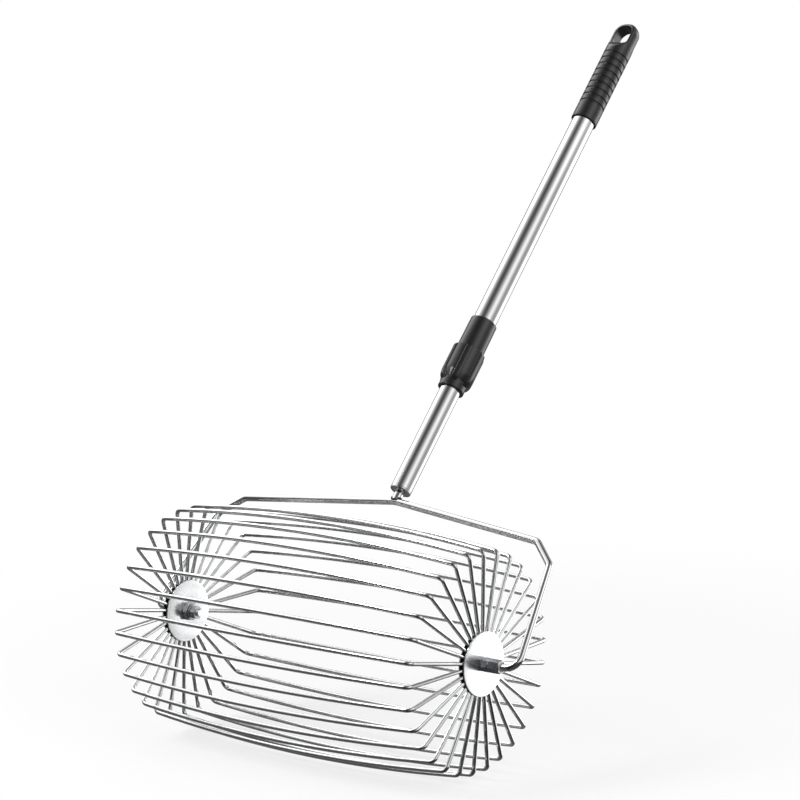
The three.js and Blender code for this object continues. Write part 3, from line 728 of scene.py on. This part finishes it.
def fin_section(base, reach):
    """The twist sleeve's outline at one height: a circle with a fin standing on it at each pitch."""
    rise = max(reach - base, 0)
    crest = base + rise
    corner, fillet = min(FIN_CORNER, rise / 3), min(FIN_FILLET, rise / 2)
    edge = fin_half_width(crest) - FIN_CORNER
    points = [(math.sqrt(crest ** 2 - y * y), y) for y in np.linspace(0, edge, 6)]
    top = points[-1][0]
    for angle in np.linspace(0, math.pi / 2, 6)[1:]:
        points.append((top - corner * (1 - math.cos(angle)), edge + FIN_CORNER * math.sin(angle)))
    side_top = points[-1][0]
    foot_y = fin_half_width(base) + FIN_FILLET
    foot_x = math.sqrt(base ** 2 - foot_y ** 2)
    side_foot = min(foot_x + fillet, side_top)
    for x in np.linspace(side_top, side_foot, 9)[1:]:
        points.append((x, max(fin_half_width(x), points[-1][1])))
    foot_start = points[-1][1]
    for angle in np.linspace(0, math.pi / 2, 7)[1:]:
        points.append((foot_x + (side_foot - foot_x) * (1 - math.sin(angle)),
                       foot_start + (foot_y - foot_start) * (1 - math.cos(angle))))
    start = math.atan2(foot_y, foot_x)
    for angle in np.linspace(start, math.pi / FIN_COUNT, 10)[1:]:
        points.append((base * math.cos(angle), base * math.sin(angle)))
    half_ring = np.array(points)
    if not rise:
        half_ring *= base / np.linalg.norm(half_ring, axis=1)[:, None]
    other_half = half_ring[-2:0:-1] * (1, -1)
    # A fin with half a panel on each side of it, repeated all round
    one = np.concatenate([other_half, half_ring])
    turned_ones = []
    for k in range(FIN_COUNT):
        angle = FIN_PHASE + 2 * math.pi * k / FIN_COUNT
        spin = np.array([[math.cos(angle), math.sin(angle)], [-math.sin(angle), math.cos(angle)]])
        turned_ones.append(one @ spin)
    return np.concatenate(turned_ones)


def roll_radius(height):
    """The barrel's outline over its foot: a curve that leaves the neck's top on a slant and ends upright."""
    control = ROLL_LENGTH - ROLL_EASE
    bend = 2 * control - ROLL_LENGTH
    up = height - NECK_TOP
    share = (control - math.sqrt(control ** 2 - bend * up)) / bend
    return TWIST_RADIUS - ROLL_DEPTH * (1 - share) ** 2


def twist_heights():
    """The heights of the twist sleeve's rings, close together where its outline turns."""
    toe = TOE_TOP - FIN_TOE * np.cos(np.linspace(0, math.pi / 2, 30))
    brow = BROW_BOTTOM + FIN_BROW * np.sin(np.linspace(0, math.pi / 2, 14))
    rim = NECK_TOP + np.array(RIM_HEIGHTS)
    plain = [np.linspace(LOCK_BOTTOM + NECK_EDGE, NECK_TOP - FIN_DROP - TOE_CLEAR, 6),
             np.linspace(TOE_TOP, BROW_BOTTOM, 14),
             LOCK_JOINT - EDGE * np.array(JOINT_DEPTHS)]
    return np.unique(np.round(np.concatenate([toe, brow, rim, *plain]), 3))


def build_twist_sleeve():
    levels = [(LOCK_BOTTOM, SLIDE_RADIUS, 0), (LOCK_BOTTOM, NECK_RADIUS - NECK_EDGE, 0),
              (LOCK_BOTTOM + NECK_EDGE_MIDDLE, NECK_RADIUS - NECK_EDGE_MIDDLE, 0)]
    for height in twist_heights():
        if height < NECK_TOP:
            near = max(0, 1 - (NECK_TOP - height) / NECK_RIM)
            base = NECK_RADIUS - NECK_RIM * (1 - math.sqrt(1 - near ** 2))
        elif height < NECK_TOP + ROLL_LENGTH:
            base = roll_radius(height)
        else:
            near = max(0, 1 - (LOCK_JOINT - height) / EDGE)
            base = TWIST_RADIUS - EDGE * (1 - math.sqrt(1 - near ** 2))
        if height <= TOE_TOP:
            low = max(0, 1 - ((TOE_TOP - height) / FIN_TOE) ** 2)
            reach = NECK_RADIUS + (FIN_REACH - NECK_RADIUS) * math.sqrt(low) if height > TOE_TOP - FIN_TOE else 0
        else:
            high = max(0, 1 - (max(0, height - BROW_BOTTOM) / FIN_BROW) ** 2)
            reach = TWIST_RADIUS + (FIN_REACH - TWIST_RADIUS) * math.sqrt(high)
        levels.append((height, base, reach))
    levels += [(LOCK_JOINT, TWIST_RADIUS - EDGE, 0), (LOCK_JOINT, TWIST_BORE, 0), (LIP_TOP, TWIST_BORE, 0),
               (LIP_TOP, SLIDE_RADIUS, 0)]
    rings = []
    for height, base, reach in levels:
        section = fin_section(base, reach)
        rings.append(np.column_stack([section, np.full(len(section), height)]))
    mesh = make_mesh("lock_twist", *skin(rings, closed=True), FIN_SHARP)
    piece("lock_twist", mesh, HANDLE_PLACE, "lock_sleeve", black_plastic, ["twist_sleeve"])


# The hand grip

def smooth_min(a, b, width):
    """The smaller of two values, rounded over where they meet."""
    mix = np.clip(0.5 + 0.5 * (b - a) / width, 0, 1)
    return b * (1 - mix) + a * mix - width * mix * (1 - mix)


def smooth_step(value):
    t = np.clip(value, 0, 1)
    return t * t * (3 - 2 * t)


def grip_radius(height):
    """The grip's round outline, before it is flattened at its eye."""
    radius = GRIP_RADIUS
    if GROOVES_BOTTOM < height < GROOVES_TOP:
        off_middle = abs((height - GROOVES_BOTTOM) % GROOVE_PITCH - GROOVE_PITCH / 2)
        if off_middle < GROOVE_HALF:
            radius -= GROOVE_DEPTH * math.sqrt(1 - (off_middle / GROOVE_HALF) ** 2)
    if height > SHOULDER_TOP:
        radius += (EYE_RADIUS - GRIP_RADIUS) * smooth_step((height - SHOULDER_TOP) / EYE_BLEND)
    if height > EYE_CENTRE:
        radius = math.sqrt(max(EYE_RADIUS ** 2 - (height - EYE_CENTRE) ** 2, EYE_TIP))
    return radius


def eye_half_thickness(height):
    """Half of the gap between the two planes that flatten the grip's eye. They start outside the grip."""
    flattening = smooth_step((height - GROOVES_TOP) / (GRIP_SHOULDER + EYE_BLEND))
    half = GRIP_RADIUS + EYE_START + (EYE_HALF_THICKNESS - GRIP_RADIUS - EYE_START) * flattening
    if height > EYE_CENTRE:
        half *= max(1 - ((height - EYE_CENTRE) / EYE_RADIUS) ** EYE_END_POWER, EYE_END_LEAST) ** 0.5
    return half


def grip_heights():
    """The heights of the grip's rings, close together across its grooves."""
    across = GROOVE_HALF * np.array([-point for point in GROOVE_POINTS[:0:-1]] + GROOVE_POINTS)
    grooves = []
    for k in range(GROOVE_COUNT):
        grooves += list(GROOVES_BOTTOM + (k + 0.5) * GROOVE_PITCH + across)
    end = EYE_CENTRE + EYE_RADIUS * np.sin(np.linspace(0, math.pi / 2, 30))
    return np.concatenate([
        np.linspace(GRIP_BOTTOM + GRIP_EDGE, GROOVES_BOTTOM, 12), grooves,
        np.linspace(GROOVES_TOP, EYE_CENTRE, 40)[:-1], end[:-1], [end[-1] - EYE_TOP_GAP]])


def grip_body():
    angles = round_angles(GRIP_COLUMNS)
    bore, bore_top = UPPER_RADIUS + SEAT, UPPER_TOP + SEAT
    mouth_width, mouth_depth = GRIP_MOUTH
    rings = [(GRIP_CAP, bore_top), (bore, bore_top), (bore, GRIP_BOTTOM + mouth_depth),
             (bore + mouth_width, GRIP_BOTTOM)]
    rings += [(GRIP_RADIUS - inset, GRIP_BOTTOM + up) for inset, up in GRIP_ROUNDING]
    across = np.maximum(np.abs(np.sin(angles)), LEAST_SINE)
    for height in grip_heights():
        flat = eye_half_thickness(height) / across
        radius = grip_radius(height)
        rings.append((smooth_min(np.full(len(angles), radius), flat, min(EYE_EDGE, radius / 2)), height))
    return make_mesh("grip", *lofted(rings, angles, closed=False))


def arch(flare):
    """The hang hole's outline, widened all round: round at the top, with rounded lower corners."""
    side, corner = HOLE_HALF_WIDTH + flare, HOLE_CORNER + flare
    foot = SHOULDER_TOP + HOLE_RISE - flare
    centre = SHOULDER_TOP + HOLE_RISE + HOLE_LENGTH - HOLE_HALF_WIDTH
    outline = [(side * math.cos(a), centre + side * math.sin(a)) for a in np.linspace(0, math.pi, 49)]
    outline += [(-side, foot + corner + (centre - foot - corner) * t) for t in (0.75, 0.5, 0.25)]
    turn = np.linspace(0, math.pi / 2, 13)
    outline += [(corner - side - corner * math.cos(a), foot + corner - corner * math.sin(a)) for a in turn]
    outline += [((side - corner) * t, foot) for t in (-0.5, 0, 0.5)]
    outline += [(side - corner + corner * math.sin(a), foot + corner - corner * math.cos(a)) for a in turn]
    return outline + [(side, foot + corner + (centre - foot - corner) * t) for t in (0.25, 0.5, 0.75)]


def hole_cutter():
    """The hang hole's arch along Y, whose two mouths flare, so that the cut leaves a rounded rim."""
    sections = [(-2 * EYE_HALF_THICKNESS, HOLE_RIM)]
    sections += [(HOLE_RIM * math.sin(a) - EYE_HALF_THICKNESS, HOLE_RIM * (1 - math.sin(a))) for a in QUARTER]
    sections += [(-depth, flare) for depth, flare in reversed(sections)]
    rings = [np.array([(x, depth, z) for x, z in arch(flare)]) for depth, flare in sections]
    return make_mesh("hole_cutter", *skin(rings, closed=False))


def build_grip():
    """The cut grip, with its place in its mesh, so that its box is as small as it is."""
    body, cutter = grip_body(), hole_cutter()
    body.transform(HANDLE_PLACE)
    cutter.transform(HANDLE_PLACE)
    item = piece("grip", body, Matrix.Identity(4), "upper_handle", grip_plastic, ["hand_grip"])
    tool = add_item("hole_cutter", cutter)
    cut = item.modifiers.new("hang_hole", "BOOLEAN")
    cut.operation, cut.solver, cut.object = "DIFFERENCE", "EXACT", tool
    bpy.context.view_layer.update()
    evaluated = item.evaluated_get(bpy.context.evaluated_depsgraph_get())
    mesh = bpy.data.meshes.new_from_object(evaluated)
    item.modifiers.clear()
    item.data = mesh
    bpy.data.objects.remove(tool)
    mesh.shade_smooth()
    mesh.set_sharp_from_angle(angle=math.radians(SHARP))


def finish_cad_pieces():
    """The two hidden pieces that keep their solids get a material."""
    for node in ("tube_guide", "lock_collet"):
        mesh = frame["nodes"][node].data
        mesh.materials.clear()
        mesh.materials.append(white_plastic)


# The studio

def clear_default_scene():
    kept = set(frame["nodes"].values()) | set(frame["bodies"].values())
    for item in list(bpy.data.objects):
        if item not in kept:
            bpy.data.objects.remove(item)


CAMERA_FROM_AXLE = Vector((2.87724, -3.41608, 1.14126))
CAMERA_RIGHT = Vector((0.78203, 0.62288, -0.02121))
CAMERA_FORWARD = Vector((-0.61587, 0.76713, -0.17951))
CAMERA_LENS = 151.09
CAMERA_CLIP = (0.1, 200)
SENSOR = 36

# What gloss sees: a room whose dark floor rises towards the camera, and grey levels over it.
# A flag has a middle and a half width in degrees round the handle, and how dark it is at its middle.
# The back's levels go by how far a ray runs with the camera's, the ceiling's by how far along the handle.
# Both have levels above white, which are divided by ROOM_LEVEL in their ramps and multiplied by it after them.
FLOOR_SLOPE = Vector((0.115, 0.52, 1))
FLOOR_EDGE = (-0.02, 0.14)
FLOOR_LEVEL = 0.08
FLAGS = [(-35, 50, 0.94), (63, 34, 0.68)]
FLAG_STEPS = 11
ROOM_LEVEL = 2.2
BACK_STOPS = [(0, 1), (0.16, 1.3), (0.30, 1.7), (0.45, 2.1), (0.60, 2.1), (0.70, 1.3), (0.79, 0.25), (0.93, 0.1),
              (0.97, 1), (1, 1)]
CEILING_STOPS = [(0, 1), (0.48, 1), (0.60, 1.6), (0.72, 1.5), (0.84, 0.5), (1, 0.15)]

# What lights the rest: a soft world and two discs of light, each with its place, size and power
SOFT_LIGHT = 0.62
LAMPS = {"key": ((-1.6, -2.4, 2.6), 1.6, 60), "fill": ((2.6, -1.0, 1.8), 1.8, 30)}
LAMP_AIM = Vector((0, -0.1, 0.4))

# A small lamp that only gloss sees, placed from a spot on the handle
GLINT_UP = 0.43
GLINT_WAY = Vector((-0.39, -0.67, 0.63))
GLINT_DISTANCE = 1.6
GLINT_RADIUS = 0.15
GLINT_POWER = 12

# The ground: its least share of white glow, and the distances between which that rises to all of it
GROUND_REACH = 40
GROUND_DROP = 0.0015
GROUND_COLOUR = (0.93, 0.93, 0.93, 1)
GROUND_FADE = (0.4, 1.2)
GROUND_GLOW = 0.65


def build_camera():
    data = bpy.data.cameras.new("camera")
    data.lens, data.sensor_width = CAMERA_LENS, SENSOR
    data.clip_start, data.clip_end = CAMERA_CLIP
    camera = add_item("camera", data)
    forward = CAMERA_FORWARD.normalized()
    up = CAMERA_RIGHT.cross(forward).normalized()
    right = forward.cross(up)
    turn = Matrix((right, up, -forward)).transposed().to_4x4()
    camera.matrix_world = Matrix.Translation(AXLE + CAMERA_FROM_AXLE) @ turn
    bpy.context.scene.camera = camera


def soft_lamp(name, place, size, power):
    data = bpy.data.lights.new(name, "AREA")
    data.shape, data.size, data.energy = "DISK", size, power
    lamp = add_item(name, data)
    lamp.location = place
    lamp.rotation_mode = "QUATERNION"
    lamp.rotation_quaternion = (LAMP_AIM - Vector(place)).to_track_quat("-Z", "Y")
    lamp.visible_camera = lamp.visible_glossy = False


def glint_lamp():
    data = bpy.data.lights.new("glint", "POINT")
    data.shadow_soft_size, data.energy = GLINT_RADIUS, GLINT_POWER
    lamp = add_item("glint", data)
    lamp.location = AXLE + ALONG * GLINT_UP + GLINT_WAY.normalized() * GLINT_DISTANCE
    lamp.visible_camera = lamp.visible_diffuse = False


def build_world():
    """Plain white to the camera, the gloss room to glossy rays, and soft light to the rest."""
    world = bpy.data.worlds.new("studio")
    bpy.context.scene.world = world
    world.use_nodes = True
    tree = world.node_tree
    tree.nodes.clear()
    add = functools.partial(add_node, tree)

    def maths(operation, *values):
        return add("Math", dict(enumerate(values)), operation=operation).outputs[0]

    def towards(way):
        return add("VectorMath", {0: look, 1: way}, operation="DOT_PRODUCT").outputs["Value"]

    def ramp(value, stops):
        node = add("ValToRGB", {"Fac": value})
        elements = node.color_ramp.elements
        while len(elements) < len(stops):
            elements.new(0.5)
        for element, (position, level) in zip(elements, stops):
            element.position, element.color = position, (level, level, level, 1)
        return node.outputs["Color"]

    def bright_ramp(value, stops):
        return maths("MULTIPLY", ramp(value, [(place, level / ROOM_LEVEL) for place, level in stops]), ROOM_LEVEL)

    def white(strength=1):
        return add("Background", {"Color": (1, 1, 1, 1), "Strength": strength}).outputs[0]

    look = add("TexCoord").outputs["Generated"]
    room = between(tree, towards(FLOOR_SLOPE), *FLOOR_EDGE, FLOOR_LEVEL, interpolation_type="SMOOTHSTEP")
    # The flags stand along the handle, so their place is an angle round it
    front = (ALONG * CAMERA_FORWARD.dot(ALONG) - CAMERA_FORWARD).normalized()
    turn = maths("ARCTAN2", towards(ALONG.cross(front)), towards(front))
    stops = [(0, 1)]
    for middle, half, depth in FLAGS:
        stops += [((middle + half * t + 180) / 360, 1 - depth * (1 - t * t)) for t in np.linspace(-1, 1, FLAG_STEPS)]
    flags = ramp(maths("MULTIPLY_ADD", turn, 0.5 / math.pi, 0.5), stops + [(1, 1)])
    lit = maths("MULTIPLY", maths("MULTIPLY", room, flags), bright_ramp(towards(CAMERA_FORWARD), BACK_STOPS))
    lit = maths("MULTIPLY", lit, bright_ramp(towards(ALONG), CEILING_STOPS))
    path = add("LightPath").outputs
    seen = maths("MAXIMUM", path["Is Camera Ray"], path["Is Transmission Ray"])
    unseen = add("MixShader", {0: path["Is Glossy Ray"], 1: white(SOFT_LIGHT), 2: white(lit)}).outputs[0]
    add("OutputWorld", {"Surface": add("MixShader", {0: seen, 1: unseen, 2: white()}).outputs[0]})


def build_floor():
    """A pale floor that keeps the picker's shadow. Gloss doesn't see it, because its room has its own."""
    mesh = bpy.data.meshes.new("floor")
    corners = [(x * GROUND_REACH, y * GROUND_REACH, 0) for x, y in ((-1, -1), (1, -1), (1, 1), (-1, 1))]
    mesh.from_pydata(corners, [], [(0, 1, 2, 3)])
    material = bpy.data.materials.new("floor")
    material.use_nodes = True
    tree = material.node_tree
    tree.nodes.clear()
    add = functools.partial(add_node, tree)
    diffuse = add("BsdfDiffuse", {"Color": GROUND_COLOUR})
    distance = add("VectorMath", {0: add("TexCoord").outputs["Object"]}, operation="LENGTH").outputs["Value"]
    far = between(tree, distance, *GROUND_FADE, GROUND_GLOW, interpolation_type="SMOOTHSTEP")
    mix = add("MixShader", {0: far, 1: diffuse.outputs[0], 2: add("Emission").outputs[0]})
    add("OutputMaterial", {"Surface": mix.outputs[0]})
    mesh.materials.append(material)
    floor = add_item("floor", mesh)
    floor.location.z = -GROUND_DROP
    floor.visible_glossy = False


def build_studio():
    build_world()
    build_floor()
    for name, (place, size, power) in LAMPS.items():
        soft_lamp(name, place, size, power)
    glint_lamp()
    bpy.context.scene.view_settings.view_transform = "Standard"


clear_default_scene()
build_camera()
build_cage()
build_hubs()
build_yoke()
build_stud()
build_weld()
build_tubes()
build_lock_body()
build_twist_sleeve()
build_grip()
finish_cad_pieces()
build_studio()
